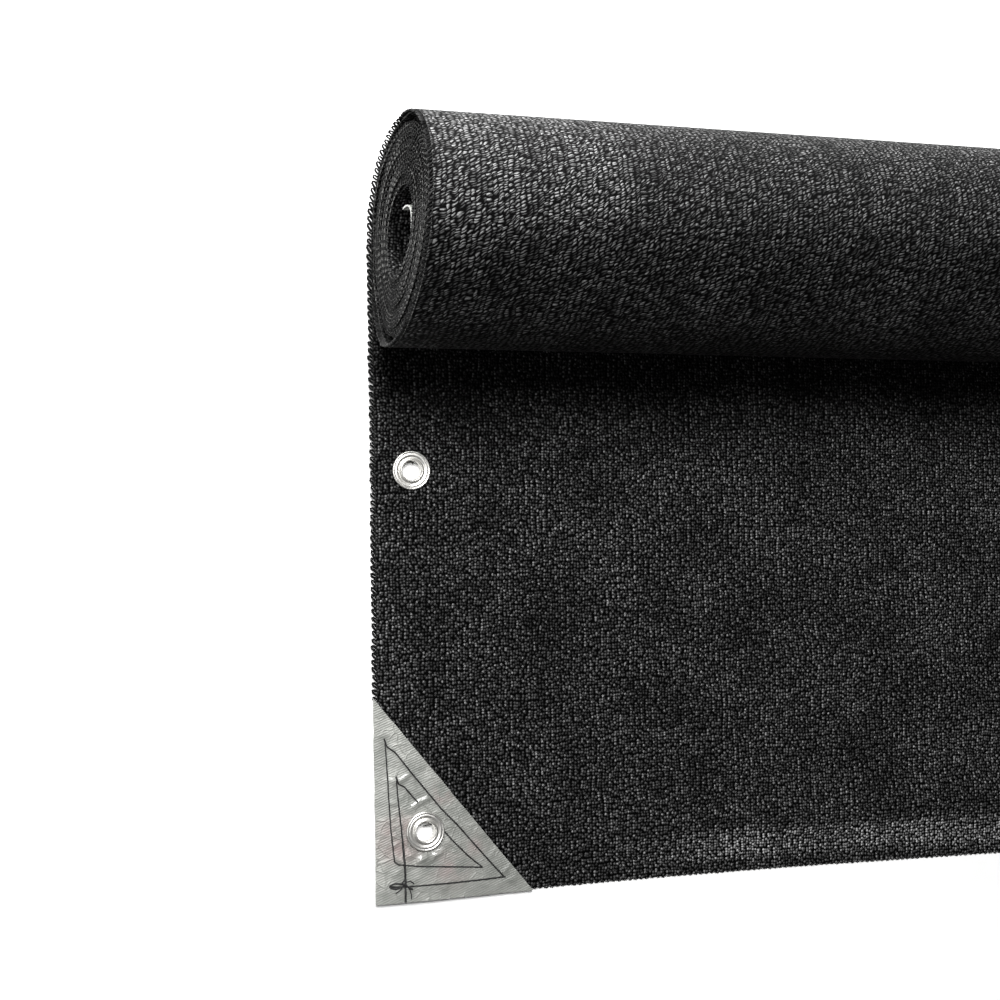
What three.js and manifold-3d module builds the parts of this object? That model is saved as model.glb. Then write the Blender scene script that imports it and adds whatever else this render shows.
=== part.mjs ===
// Privacy screen of knitted netting, partly unrolled: a loose roll without a core lies at the
// far side, and the free end of the cloth lies flat in front of it with its hard-wearing corners
// and eyelets. Millimetres, +X along the roll, +Y to the far side, +Z up.
import * as THREE from 'three';
import { mergeVertices } from 'three/addons/utils/BufferGeometryUtils.js';
import Module from 'manifold-3d';

const wasm = await Module();
wasm.setup();

// Driving dimensions
const screenWidth = 900;
const clothThickness = 1.5;
const clearance = 0.3;
const rollRadius = 58;
const rollCentreY = 328;
const coreHoleRadius = 23;
const looseAir = 0.8;
const packedAir = 1.1;
const packedTurns = 5;
const endSlant = 0.08;
const patchAlongX = 82;
const patchAlongY = 100;
const patchThickness = 1.0;
const patchOverhang = 1.0;
const stripWidth = 46;
const stripLength = 246;
const eyeletRadius = 10;
const eyeletBore = 5.2;
const eyeletWall = 0.6;
const eyeletSides = 24;
const washerThickness = 0.8;
const flangeHeight = 1.9;
const cornerEyelet = { x: 25, y: 33 };
const sideEyelet = { x: 20.5, y: 216 };
const laidPastCentre = 4;
const cutterHeight = 60;
const cutterMargin = 20;

// Soft folds of the laid cloth: a row for each, with its middle, half length, half width,
// the angle of its crest from +X in degrees, and its height.
const folds = [
  { x: 300, y: 31, halfLength: 210, halfWidth: 15, angle: 0, height: 3.2 },
  { x: 238, y: 108, halfLength: 70, halfWidth: 17, angle: 24, height: 2.6 },
  { x: 322, y: 92, halfLength: 60, halfWidth: 16, angle: -18, height: 3.0 },
  { x: 152, y: 176, halfLength: 75, halfWidth: 20, angle: 62, height: 1.8 },
  { x: 405, y: 168, halfLength: 80, halfWidth: 22, angle: 35, height: 2.8 },
  { x: 560, y: 96, halfLength: 90, halfWidth: 20, angle: -12, height: 2.6 },
  { x: 660, y: 190, halfLength: 85, halfWidth: 24, angle: 28, height: 2.2 },
  { x: 705, y: 40, halfLength: 95, halfWidth: 16, angle: 4, height: 2.4 },
];

// Sheet heights
function smoothStep(t) {
  const s = Math.min(Math.max(t, 0), 1);
  return s * s * (3 - 2 * s);
}

function foldHeight(fold, x, y) {
  const turn = THREE.MathUtils.degToRad(fold.angle);
  const along = (x - fold.x) * Math.cos(turn) + (y - fold.y) * Math.sin(turn);
  const across = (y - fold.y) * Math.cos(turn) - (x - fold.x) * Math.sin(turn);
  return fold.height * Math.exp(-((along / fold.halfLength) ** 2) - (across / fold.halfWidth) ** 2);
}

function mirroredX(x) {
  return Math.min(x, screenWidth - x);
}

// The washer under an eyelet holds the cloth a little off the floor.
function eyeletLift(eyelet, x, y) {
  const plateau = 2 * eyeletRadius;
  const fadeLength = 34;
  const far = Math.hypot(mirroredX(x) - eyelet.x, y - eyelet.y);
  return (washerThickness + clearance) * (1 - smoothStep((far - plateau) / fadeLength));
}

// The folds fade out towards the roll and towards the patches.
function clothLift(x, y) {
  const fadeLength = 60;
  const flatBeforeRoll = rollCentreY - rollRadius;
  const fadeToRoll = 1 - smoothStep((y - flatBeforeRoll + fadeLength) / fadeLength);
  const fadeAtPatch = smoothStep((mirroredX(x) - fadeLength) / fadeLength);
  const raised = folds.reduce((sum, fold) => sum + foldHeight(fold, x, y), 0);
  const trough = 0.5;
  const fold = Math.max(raised - trough, 0) * fadeToRoll * fadeAtPatch;
  const ring = Math.max(eyeletLift(cornerEyelet, x, y), eyeletLift(sideEyelet, x, y));
  return Math.max(fold, ring);
}

// The front edge bows a little, as a cut and bound edge does.
function frontBow(x, y) {
  const shortWave = 1.6 * Math.sin((Math.PI * x) / 290);
  const longWave = 1.5 * Math.cos((Math.PI * x) / 450);
  const fadeDepth = 90;
  return (shortWave - longWave) * (1 - smoothStep(y / fadeDepth));
}

// Station lines of the laid sheet, closer together near the eyelets and patches
function stationsFromSteps(start, spans) {
  const lines = [start];
  for (const { end, count } of spans) {
    const from = lines[lines.length - 1];
    for (let i = 1; i <= count; i++) {
      lines.push(from + ((end - from) * i) / count);
    }
  }
  return lines;
}

const patchMargin = 4;
const nearPatch = patchAlongX + patchMargin;
const laidEnd = rollCentreY + laidPastCentre;
const xStations = stationsFromSteps(0, [
  { end: stripWidth, count: 5 },
  { end: nearPatch, count: 4 },
  { end: screenWidth - nearPatch, count: 19 },
  { end: screenWidth - stripWidth, count: 4 },
  { end: screenWidth, count: 5 },
]);
const yStations = stationsFromSteps(0, [
  { end: stripLength, count: 23 },
  { end: laidEnd, count: 4 },
]);

// A closed sheet between two heights over the station lines of a region
function slab(region, base, thickness) {
  const overhang = region.overhang ?? 0;
  const slack = 0.01;
  const xs = xStations.filter((x) => x >= region.x0 - slack && x <= region.x1 + slack);
  const ys = yStations.filter((y) => y >= region.y0 - slack && y <= region.y1 + slack);
  const points = [];
  for (const level of [base, base + thickness]) {
    for (const y of ys) {
      for (const x of xs) {
        const px = x === 0 ? -overhang : x === screenWidth ? screenWidth + overhang : x;
        const py = y === 0 ? -overhang : y;
        points.push(px, py + frontBow(x, y), level + clothLift(x, y));
      }
    }
  }
  const perLevel = xs.length * ys.length;
  const at = (level, j, i) => level * perLevel + j * xs.length + i;
  const index = [];
  const quad = (a, b, c, d) => index.push(a, b, c, a, c, d);
  for (let j = 0; j + 1 < ys.length; j++) {
    for (let i = 0; i + 1 < xs.length; i++) {
      quad(at(1, j, i), at(1, j, i + 1), at(1, j + 1, i + 1), at(1, j + 1, i));
      index.push(at(0, j, i), at(0, j + 1, i + 1), at(0, j, i + 1));
      index.push(at(0, j, i), at(0, j + 1, i), at(0, j + 1, i + 1));
    }
  }
  const rim = [];
  for (let i = 0; i + 1 < xs.length; i++) rim.push([0, i]);
  for (let j = 0; j + 1 < ys.length; j++) rim.push([j, xs.length - 1]);
  for (let i = xs.length - 1; i > 0; i--) rim.push([ys.length - 1, i]);
  for (let j = ys.length - 1; j > 0; j--) rim.push([j, 0]);
  rim.forEach(([j, i], k) => {
    const [nextJ, nextI] = rim[(k + 1) % rim.length];
    quad(at(0, j, i), at(0, nextJ, nextI), at(1, nextJ, nextI), at(1, j, i));
  });
  return indexedGeometry(points, index);
}

function indexedGeometry(points, index) {
  const geometry = new THREE.BufferGeometry();
  geometry.setAttribute('position', new THREE.Float32BufferAttribute(points, 3));
  geometry.setIndex(index);
  return geometry;
}

// Wound section: the turn angle runs from 0 under the roll up its far side.
const turn = 360;
const loosePitch = clothThickness + looseAir;
const packedPitch = (rollRadius - loosePitch - coreHoleRadius) / packedTurns;
const innerEndAngle = turn * (packedTurns + 1) - 168;
const windStep = 12;

function outerInset(angle) {
  if (angle <= turn) return (loosePitch * angle) / turn;
  return loosePitch + (packedPitch * (angle - turn)) / turn;
}

function windThickness(angle) {
  const packed = packedPitch - packedAir;
  const growSweep = 60;
  const thinSweep = 70;
  const grow = smoothStep((angle - turn) / growSweep);
  const thinEnd = smoothStep((innerEndAngle - angle) / thinSweep);
  return clothThickness + (packed - clothThickness) * grow * thinEnd;
}

// The loose outer turns bulge a little, and the first one starts just inside the laid sheet.
function windPoint(angle, inset) {
  const a = THREE.MathUtils.degToRad(angle);
  const radius = rollRadius - inset;
  const startHeight = 0.1;
  const bulgeDepth = 0.5;
  const bulge = (bulgeDepth * (1 - Math.cos(3 * a)) * radius) / rollRadius;
  return [rollCentreY + radius * Math.sin(a), startHeight + rollRadius - radius * Math.cos(a) + bulge];
}

function windAngles() {
  const startAngle = -3;
  const sweep = innerEndAngle - startAngle;
  const steps = Math.round(sweep / windStep);
  return Array.from({ length: steps + 1 }, (_, i) => startAngle + (sweep * i) / steps);
}

function woundOutline() {
  const angles = windAngles();
  const outer = angles.map((angle) => windPoint(angle, outerInset(angle)));
  const inner = angles.map((angle) => windPoint(angle, outerInset(angle) + windThickness(angle)));
  return [...outer, ...inner.reverse()];
}

// A section in the YZ plane drawn out along X, its ends slanted as the turns lie
function drawnAlongX(outline, xs) {
  const shape = outline.map(([y, z]) => new THREE.Vector2(y, z));
  const isClockwise = THREE.ShapeUtils.isClockWise(shape);
  const ring = isClockwise ? shape.slice().reverse() : shape;
  const points = [];
  const slantFrom = 60;
  for (const x of xs) {
    for (const { x: y, y: z } of ring) {
      points.push(x + endSlant * (y - rollCentreY) * smoothStep(z / slantFrom), y, z);
    }
  }
  const n = ring.length;
  const index = [];
  for (let s = 0; s + 1 < xs.length; s++) {
    for (let i = 0; i < n; i++) {
      const next = (i + 1) % n;
      index.push(s * n + i, s * n + next, (s + 1) * n + next);
      index.push(s * n + i, (s + 1) * n + next, (s + 1) * n + i);
    }
  }
  const last = (xs.length - 1) * n;
  for (const [a, b, c] of THREE.ShapeUtils.triangulateShape(ring, [])) {
    index.push(a, c, b);
    index.push(last + a, last + b, last + c);
  }
  return indexedGeometry(points, index);
}

// Solids for joining and cutting
function toSolid(geometry) {
  const bare = geometry.clone();
  bare.deleteAttribute('normal');
  bare.deleteAttribute('uv');
  const merged = mergeVertices(bare, 1e-4);
  const vertProperties = new Float32Array(merged.attributes.position.array);
  const triVerts = new Uint32Array(merged.index.array);
  return new wasm.Manifold(new wasm.Mesh({ numProp: 3, vertProperties, triVerts }));
}

function toGeometry(solid) {
  const mesh = solid.getMesh();
  const geometry = indexedGeometry(Array.from(mesh.vertProperties), Array.from(mesh.triVerts));
  geometry.computeVertexNormals();
  return geometry;
}

function boxSolid(x0, x1, y0, y1) {
  const box = new THREE.BoxGeometry(x1 - x0, y1 - y0, cutterHeight);
  return toSolid(box.translate((x0 + x1) / 2, (y0 + y1) / 2, 0));
}

function holeSolid(eyelet) {
  const radius = eyeletBore + eyeletWall + clearance;
  const cylinder = new THREE.CylinderGeometry(radius, radius, cutterHeight, eyeletSides);
  return toSolid(cylinder.rotateX(Math.PI / 2).translate(eyelet.x, eyelet.y, 0));
}

function prismSolid(corners) {
  const shape = new THREE.Shape(corners.map(([x, y]) => new THREE.Vector2(x, y)));
  const prism = new THREE.ExtrudeGeometry(shape, { depth: cutterHeight, bevelEnabled: false });
  return toSolid(prism.translate(0, 0, -cutterHeight / 2));
}

// Materials
const knitMaterial = new THREE.MeshStandardMaterial({ color: 0x242424, roughness: 0.62, metalness: 0 });
const patchMaterial = new THREE.MeshStandardMaterial({ color: 0xa3a39e, roughness: 0.35, metalness: 0.1 });
const eyeletMaterial = new THREE.MeshStandardMaterial({ color: 0xd9d9d6, roughness: 0.28, metalness: 1 });

const screen = new THREE.Group();

function addPiece(name, geometry, material) {
  const mesh = new THREE.Mesh(geometry, material);
  mesh.name = name;
  screen.add(mesh);
}

// Places of what is at both ends of the roll
const sides = [
  { name: 'left', place: (x) => x, sign: 1 },
  { name: 'right', place: (x) => screenWidth - x, sign: -1 },
];

function regionAt(side, x0, x1, y0, y1, overhang = 0) {
  const [a, b] = [side.place(x0), side.place(x1)];
  return { x0: Math.min(a, b), x1: Math.max(a, b), y0, y1, overhang };
}

// The cloth: one solid of the wound roll and the laid sheet, without the two eyelet strips
function makeCloth() {
  const rollStations = [0, 0.25, 0.5, 0.75, 1].map((share) => share * screenWidth);
  const roll = toSolid(drawnAlongX(woundOutline(), rollStations));
  const laid = toSolid(slab({ x0: 0, x1: screenWidth, y0: 0, y1: laidEnd }, 0, clothThickness));
  let cloth = laid.add(roll);
  for (const side of sides) {
    const outside = side.place(-cutterMargin);
    const edge = side.place(stripWidth + clearance);
    const [low, high] = [Math.min(outside, edge), Math.max(outside, edge)];
    cloth = cloth.subtract(boxSolid(low, high, -cutterMargin, stripLength + clearance));
  }
  addPiece('cloth', toGeometry(cloth), knitMaterial);
}

// The cloth's side edge that holds the eyelets, one strip at each end of the roll
function makeEdgeStrip(side) {
  let strip = toSolid(slab(regionAt(side, 0, stripWidth, 0, stripLength), 0, clothThickness));
  for (const eyelet of [cornerEyelet, sideEyelet]) {
    strip = strip.subtract(holeSolid({ x: side.place(eyelet.x), y: eyelet.y }));
  }
  addPiece(`edge_strip_${side.name}`, toGeometry(strip), knitMaterial);
}

// The sewn triangle over each front corner
function makeCornerPatch(side) {
  const region = regionAt(side, 0, nearPatch, 0, patchAlongY + 3 * patchMargin, patchOverhang);
  const sheet = toSolid(slab(region, clothThickness + clearance, patchThickness));
  const outer = side.place(-patchMargin);
  const below = 1.5 * patchMargin;
  const triangle = prismSolid([
    [outer, -below],
    [side.place(patchAlongX + below * (patchAlongX / patchAlongY)), -below],
    [side.place(0), patchAlongY],
    [outer, patchAlongY],
  ]);
  const hole = holeSolid({ x: side.place(cornerEyelet.x), y: cornerEyelet.y });
  addPiece(`corner_patch_${side.name}`, toGeometry(sheet.intersect(triangle).subtract(hole)), patchMaterial);
}

// A pressed eyelet: a flat washer below, a barrel, and a domed flange above
function makeEyelet(name, x, y, stackTop) {
  const barrel = eyeletBore + eyeletWall;
  const flange = stackTop + clearance;
  const crown = flange + flangeHeight;
  const edge = 0.5;
  const round = 0.3;
  const groove = flange + 3 * round;
  const profile = [
    { radius: eyeletBore, height: round },
    { radius: barrel, height: 0 },
    { radius: eyeletRadius, height: 0 },
    { radius: eyeletRadius, height: washerThickness },
    { radius: barrel, height: washerThickness },
    { radius: barrel, height: flange },
    { radius: eyeletRadius, height: flange },
    { radius: eyeletRadius, height: flange + edge },
    { radius: eyeletRadius - 3 * round, height: crown - round },
    { radius: eyeletRadius - 4 * edge, height: crown - round },
    { radius: barrel + 3 * edge, height: groove },
    { radius: barrel + edge, height: crown },
    { radius: eyeletBore, height: crown - edge },
    { radius: eyeletBore, height: round },
  ].map(({ radius, height }) => new THREE.Vector2(radius, height));
  const lathe = new THREE.LatheGeometry(profile, eyeletSides);
  const solid = toSolid(lathe.rotateX(Math.PI / 2));
  const geometry = toGeometry(solid);
  const mesh = new THREE.Mesh(geometry, eyeletMaterial);
  mesh.name = name;
  mesh.position.set(x, y, 0);
  screen.add(mesh);
}

function makeEyelets(side) {
  const lifted = washerThickness + clearance + clothThickness;
  const patchTop = lifted + clearance + patchThickness;
  makeEyelet(`eyelet_corner_${side.name}`, side.place(cornerEyelet.x), cornerEyelet.y, patchTop);
  makeEyelet(`eyelet_side_${side.name}`, side.place(sideEyelet.x), sideEyelet.y, lifted);
}

// The turned-over tip of the inner end's patch, which springs off the roof of the hole: a row
// for each section, with its turn angle, its drop from the roof and its reach along the roll
const innerTip = [
  { angle: 186, drop: 0.5, reach: 16 },
  { angle: 174, drop: 0.6, reach: 15 },
  { angle: 163, drop: 1.6, reach: 12.5 },
  { angle: 152, drop: 4.0, reach: 9.5 },
  { angle: 141, drop: 7.0, reach: 6.5 },
  { angle: 130, drop: 9.8, reach: 4 },
];

function makeInnerTip() {
  const lastTurn = turn * packedTurns;
  const shell = innerTip.map(({ angle, drop, reach }) => {
    const at = lastTurn + angle;
    const under = outerInset(at) + windThickness(at) + drop;
    return { low: windPoint(at, under + patchThickness), high: windPoint(at, under), reach };
  });
  const steps = shell.length - 1;
  const points = [];
  for (const { low, high, reach } of shell) {
    const slantAt = endSlant * (low[0] - rollCentreY);
    points.push(slantAt, ...low, slantAt, ...high, slantAt + reach, ...high, slantAt + reach, ...low);
  }
  const index = [];
  const quad = (a, b, c, d) => index.push(a, b, c, a, c, d);
  for (let i = 0; i < steps; i++) {
    for (let k = 0; k < 4; k++) {
      const next = (k + 1) % 4;
      quad(4 * i + k, 4 * i + next, 4 * (i + 1) + next, 4 * (i + 1) + k);
    }
  }
  quad(3, 2, 1, 0);
  quad(4 * steps, 4 * steps + 1, 4 * steps + 2, 4 * steps + 3);
  addPiece('inner_corner_tip', indexedGeometry(points, index), patchMaterial);
}

makeCloth();
for (const side of sides) {
  makeEdgeStrip(side);
  makeCornerPatch(side);
  makeEyelets(side);
}
makeInnerTip();

// The origin is under the middle of the part's footprint.
const footprint = new THREE.Box3().setFromObject(screen);
const middle = footprint.getCenter(new THREE.Vector3());
screen.position.set(-middle.x, -middle.y, -footprint.min.z);
screen.updateMatrixWorld(true);

export default screen;
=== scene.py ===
# Privacy screen of black knitted netting: its free end lies flat in front of a loose roll
import bpy
import math
import random
from mathutils import Matrix, Vector, noise


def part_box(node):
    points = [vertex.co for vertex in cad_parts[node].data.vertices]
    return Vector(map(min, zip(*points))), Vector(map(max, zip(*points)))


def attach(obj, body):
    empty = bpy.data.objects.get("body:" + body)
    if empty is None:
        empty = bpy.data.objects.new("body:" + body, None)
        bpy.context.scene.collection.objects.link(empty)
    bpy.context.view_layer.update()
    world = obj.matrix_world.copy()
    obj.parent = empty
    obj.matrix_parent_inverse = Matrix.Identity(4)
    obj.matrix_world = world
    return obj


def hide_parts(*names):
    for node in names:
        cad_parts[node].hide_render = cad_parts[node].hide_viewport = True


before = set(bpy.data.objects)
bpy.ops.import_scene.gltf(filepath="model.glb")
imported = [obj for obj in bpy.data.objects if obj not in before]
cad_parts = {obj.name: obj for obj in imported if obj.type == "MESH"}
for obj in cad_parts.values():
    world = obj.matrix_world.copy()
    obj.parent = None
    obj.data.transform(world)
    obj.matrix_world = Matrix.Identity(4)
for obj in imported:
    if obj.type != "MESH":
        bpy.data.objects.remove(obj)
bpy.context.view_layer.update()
random.seed(7)
mm = 0.001
print("frame loaded:", len(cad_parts), "solids")

# Helpers

def smoothStep(t):
    s = min(max(t, 0.0), 1.0)
    return s * s * (3 - 2 * s)

def sRgb(hexCode):  # an sRGB hex colour as linear RGBA
    parts = [int(hexCode[i:i + 2], 16) / 255 for i in (1, 3, 5)]
    return [c / 12.92 if c < 0.04045 else ((c + 0.055) / 1.055) ** 2.4 for c in parts] + [1.0]

def addNode(tree, kind, inputs=None, **settings):  # an input is a value, a node or a socket
    node = tree.nodes.new("ShaderNode" + kind)
    for name, value in settings.items():
        setattr(node, name, value)
    for key, value in (inputs or {}).items():
        if isinstance(value, bpy.types.Node):
            value = value.outputs[0]
        if isinstance(value, bpy.types.NodeSocket):
            tree.links.new(value, node.inputs[key])
        else:
            node.inputs[key].default_value = value
    return node

def newMaterial(name, fixed):  # fixed are the shader's constant values
    material = bpy.data.materials.new(name)
    material.use_nodes = True
    shader = material.node_tree.nodes["Principled BSDF"]
    for key, value in fixed.items():
        shader.inputs[key].default_value = value
    return material, material.node_tree, shader

def feed(tree, shader, **links):
    for key, source in links.items():
        socket = {"colour": "Base Color", "roughness": "Roughness", "normal": "Normal"}[key]
        tree.links.new(source, shader.inputs[socket])

def deselectAll():
    if bpy.context.object and bpy.context.object.mode != "OBJECT":
        bpy.ops.object.mode_set(mode="OBJECT")
    bpy.ops.object.select_all(action="DESELECT")

def makeActive(piece):
    deselectAll()
    piece.select_set(True)
    bpy.context.view_layer.objects.active = piece

def thicken(piece, thickness, offset, **settings):  # a sheet of faces becomes a closed body
    makeActive(piece)
    modifier = piece.modifiers.new("thickness", "SOLIDIFY")
    modifier.thickness = thickness
    modifier.offset = offset
    for name, value in settings.items():
        setattr(modifier, name, value)
    bpy.ops.object.modifier_apply(modifier=modifier.name)

def finishPiece(piece, name, angle=50):
    piece.name = name
    piece.data.name = name
    makeActive(piece)
    bpy.ops.object.shade_smooth_by_angle(angle=math.radians(angle))
    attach(piece, "root")
    return piece

def meshPiece(name, points, faces, materials):
    mesh = bpy.data.meshes.new(name)
    mesh.from_pydata(points, [], faces)
    piece = bpy.data.objects.new(name, mesh)
    bpy.context.collection.objects.link(piece)
    for material in materials:
        mesh.materials.append(material)
    return piece

def repeated(name, pattern, places, material):  # the pattern's mesh once at each place
    corners = [vertex.co.copy() for vertex in pattern.data.vertices]
    sides = [tuple(face.vertices) for face in pattern.data.polygons]
    points, faces = [], []
    for place in places:
        first = len(points)
        points += [place @ corner for corner in corners]
        faces += [tuple(first + i for i in side) for side in sides]
    bpy.data.objects.remove(pattern)
    return meshPiece(name, points, faces, [material])

def yarnRun(points, radius):  # a round yarn through the points, as a mesh
    curve = bpy.data.curves.new("yarn run", "CURVE")
    curve.dimensions = "3D"
    curve.bevel_depth = radius
    curve.bevel_resolution = 1
    curve.use_fill_caps = True
    spline = curve.splines.new("POLY")
    spline.points.add(len(points) - 1)
    for point, place in zip(spline.points, points):
        point.co = (*place, 1)
    run = bpy.data.objects.new("yarn run", curve)
    bpy.context.collection.objects.link(run)
    makeActive(run)
    bpy.ops.object.convert(target="MESH")
    return bpy.context.object

def joinAs(parts, material):
    deselectAll()
    for part in parts:
        part.select_set(True)
    bpy.context.view_layer.objects.active = parts[0]
    bpy.ops.object.join()
    joined = bpy.context.object
    joined.data.materials.clear()
    joined.data.materials.append(material)
    return joined

# Where the cloth lies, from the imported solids, and the sizes that shape it
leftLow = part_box("edge_strip_left")[0]
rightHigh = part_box("edge_strip_right")[1]
cornerLow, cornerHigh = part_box("eyelet_corner_left")

cornerEyelet = dict(x=25 * mm, y=33 * mm)
sideEyelet = dict(x=20.5 * mm, y=216 * mm)

cloth = {
    "left": leftLow.x,
    "width": rightHigh.x - leftLow.x,
    "front": (cornerLow.y + cornerHigh.y) / 2 - cornerEyelet["y"],
    "thick": 1.35 * mm,
    "edgeInset": 1.6 * mm,  # the selvedge loops fill this
    "rollRadius": 58 * mm,
    "rollY": 328 * mm,
    "holeRadius": 23 * mm,
    "loosePitches": [2.6 * mm, 2.3 * mm],  # the two outer turns lie loosely
    "looseGap": 1.1 * mm,  # more room below the outermost turn
    "tuckIn": 4 * mm,  # of the second turn's edge, a dark ring round the roll's end
    "bulge": 0.5 * mm,  # the roll's section is not quite round
    "endAngle": 360 * 19 - 168,  # degrees from the floor line to the inner end
    "endSlant": 0.08,
    "slantHeight": 60 * mm,
    "wale": 3.15 * mm,
    "course": 1.65 * mm,
    "tapeWale": 2.7 * mm,
    "tapeRow": 1.45 * mm,
}

turnAngles = {  # where on the roll's way a change starts and how long it takes, in degrees
    "looseFrom": 350,
    "looseOver": 100,
    "tuckFrom": 345,
    "tuckOver": 50,
    "tuckUntil": 745,
    "untuckOver": 60,
    "wanderFrom": 120,
    "wanderOver": 200,
}

endWander = {  # of the turns' edges in the roll's end
    "reach": 20 * mm,
    "waves": [  # size in mm, turns of the wave for each turn of the roll, start in radians
        dict(size=0.55, rate=0.83, start=0),
        dict(size=0.4, rate=0.31, start=1),
        dict(size=0.25, rate=2.3, start=0),
    ],
}

laidSheet = {
    "fade": 60 * mm,  # the folds end over this length before the roll and the side edges
    "foldsFrom": 0.5 * mm,  # lower parts of a fold lie flat
    "washerLift": 1.1 * mm,  # the washers below hold the cloth up
    "liftReach": 20 * mm,
    "liftFade": 34 * mm,
    "bow": 1.6 * mm,  # of the front edge, in two waves of these half lengths
    "bowLength": 290 * mm,
    "slowBow": 1.5 * mm,
    "slowBowLength": 450 * mm,
    "bowReach": 90 * mm,
}

folds = [  # middle, half length and half width in mm, turn of the crest in degrees, height in mm
    dict(x=300, y=31, halfLength=210, halfWidth=15, turn=0, height=3.2),
    dict(x=238, y=108, halfLength=70, halfWidth=17, turn=24, height=2.6),
    dict(x=322, y=92, halfLength=60, halfWidth=16, turn=-18, height=3.0),
    dict(x=152, y=176, halfLength=75, halfWidth=20, turn=62, height=1.8),
    dict(x=405, y=168, halfLength=80, halfWidth=22, turn=35, height=2.8),
    dict(x=560, y=96, halfLength=90, halfWidth=20, turn=-12, height=2.6),
    dict(x=660, y=190, halfLength=85, halfWidth=24, turn=28, height=2.2),
    dict(x=705, y=40, halfLength=95, halfWidth=16, turn=4, height=2.4),
]

def fromEnd(x):
    return min(x, cloth["width"] - x)

def foldHeight(fold, x, y):
    turn = math.radians(fold["turn"])
    dx, dy = x / mm - fold["x"], y / mm - fold["y"]
    along = (dx * math.cos(turn) + dy * math.sin(turn)) / fold["halfLength"]
    across = (dy * math.cos(turn) - dx * math.sin(turn)) / fold["halfWidth"]
    return fold["height"] * mm * math.exp(-along ** 2 - across ** 2)

def clothLift(x, y):  # height of the laid cloth's underside over the floor
    fade = laidSheet["fade"]
    towardsRoll = 1 - smoothStep((y - cloth["rollY"] + cloth["rollRadius"] + fade) / fade)
    fromSides = smoothStep((fromEnd(x) - fade) / fade)
    raised = sum(foldHeight(fold, x, y) for fold in folds)
    lift = max(raised - laidSheet["foldsFrom"], 0) * towardsRoll * fromSides
    for place in (cornerEyelet, sideEyelet):
        far = math.hypot(fromEnd(x) - place["x"], y - place["y"])
        share = 1 - smoothStep((far - laidSheet["liftReach"]) / laidSheet["liftFade"])
        lift = max(lift, laidSheet["washerLift"] * share)
    return lift

def frontBow(x, y):  # the front edge bows a little
    bow = laidSheet["bow"] * math.sin(math.pi * x / laidSheet["bowLength"])
    bow -= laidSheet["slowBow"] * math.cos(math.pi * x / laidSheet["slowBowLength"])
    return bow * (1 - smoothStep(y / laidSheet["bowReach"]))

def onFloor(x, y, z=0.0):  # a point of the laid cloth in the part's frame
    return Vector((cloth["left"] + x, cloth["front"] + y + frontBow(x, y), z))

def turnInset(angle):  # how far inside the roll's outline the cloth's outer face lies
    loose = smoothStep((angle - turnAngles["looseFrom"]) / turnAngles["looseOver"])
    inset, left = cloth["looseGap"] * loose, angle
    for pitch in cloth["loosePitches"]:
        inset += pitch * min(max(left, 0), 360) / 360
        left -= 360
    packedSweep = cloth["endAngle"] - 360 * len(cloth["loosePitches"])
    depth = cloth["rollRadius"] - cloth["holeRadius"] - cloth["looseGap"] - sum(cloth["loosePitches"])
    return inset + depth * max(left, 0) / packedSweep

def rolledPoint(x, angle, depth=0.0):  # depth is measured inwards from the outer face
    a = math.radians(angle)
    radius = cloth["rollRadius"] - turnInset(angle) - depth
    bulge = cloth["bulge"] * (1 - math.cos(3 * a)) * radius / cloth["rollRadius"]
    y = radius * math.sin(a)
    z = cloth["rollRadius"] - radius * math.cos(a) + bulge
    slant = cloth["endSlant"] * y * smoothStep(z / cloth["slantHeight"])
    wander = sum(wave["size"] * math.sin(a * wave["rate"] + wave["start"]) for wave in endWander["waves"])
    nearEnd = smoothStep(1 - fromEnd(x) / endWander["reach"])
    nearEnd *= smoothStep((angle - turnAngles["wanderFrom"]) / turnAngles["wanderOver"])
    tuck = cloth["tuckIn"] * smoothStep((angle - turnAngles["tuckFrom"]) / turnAngles["tuckOver"])
    tuck *= smoothStep((turnAngles["tuckUntil"] - angle) / turnAngles["untuckOver"])
    shift = wander * mm + (tuck if x < cloth["width"] / 2 else -tuck)
    return Vector((
        cloth["left"] + x + slant + shift * nearEnd,
        cloth["front"] + cloth["rollY"] + y,
        z,
    ))

def clothPoint(x, place, depth=0.0):  # a place is a row of the laid cloth or an angle of the roll
    if "laid" in place:
        return onFloor(x, place["laid"], clothLift(x, place["laid"]) + depth)
    return rolledPoint(x, place["angle"], depth)

# Materials

chainLoop = {  # its radii are in cells of the pattern
    "perWale": 2,  # a bright and a dim column in each wale
    "uneven": 0.62,
    "outer": 0.55,  # a loop is dark at this distance from its middle and bright at the next
    "inner": 0.06,
    "rarity": 2.2,  # the higher, the fewer loops are bright
    "dimmest": 0.17,
    "rollShadeFrom": 190 * mm,  # painted shade: from here to there the laid cloth is painted darker towards the roll
    "rollShadeTo": 265 * mm,
    "rollShadeShare": 0.6,
    "creaseAt": 14 * mm,  # the crease behind the front edge
    # how much brighter the painted highlight on the crease is
    "creaseHighlightShare": 3,
}

tapeStroke = {  # its radii and shifts are in cells of the pattern
    "jitter": (0.55, 0.6, 0),
    "middle": (-0.77, -0.8, 0),  # half a cell and half the jitter back
    "squeeze": (1.1, 1.3, 0),
    "waleShift": 0.6,
    "outer": 0.62,
    "inner": 0.1,
    "rarity": 2,
    "dimmest": 0.12,
    "glintAt": 470 * mm,  # along the cloth: the roll's top, painted brighter near the left end as a painted glint
    "glintShare": 2.25,
}

clothBends = [dict(size=20.83 * mm, reach=(3 * mm, 4 * mm, 0), detail=3)]  # sway of the knit's rows
tapeBends = clothBends + [dict(size=5.263 * mm, reach=(3.2 * mm, 3.2 * mm, 0), detail=1)]

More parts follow.
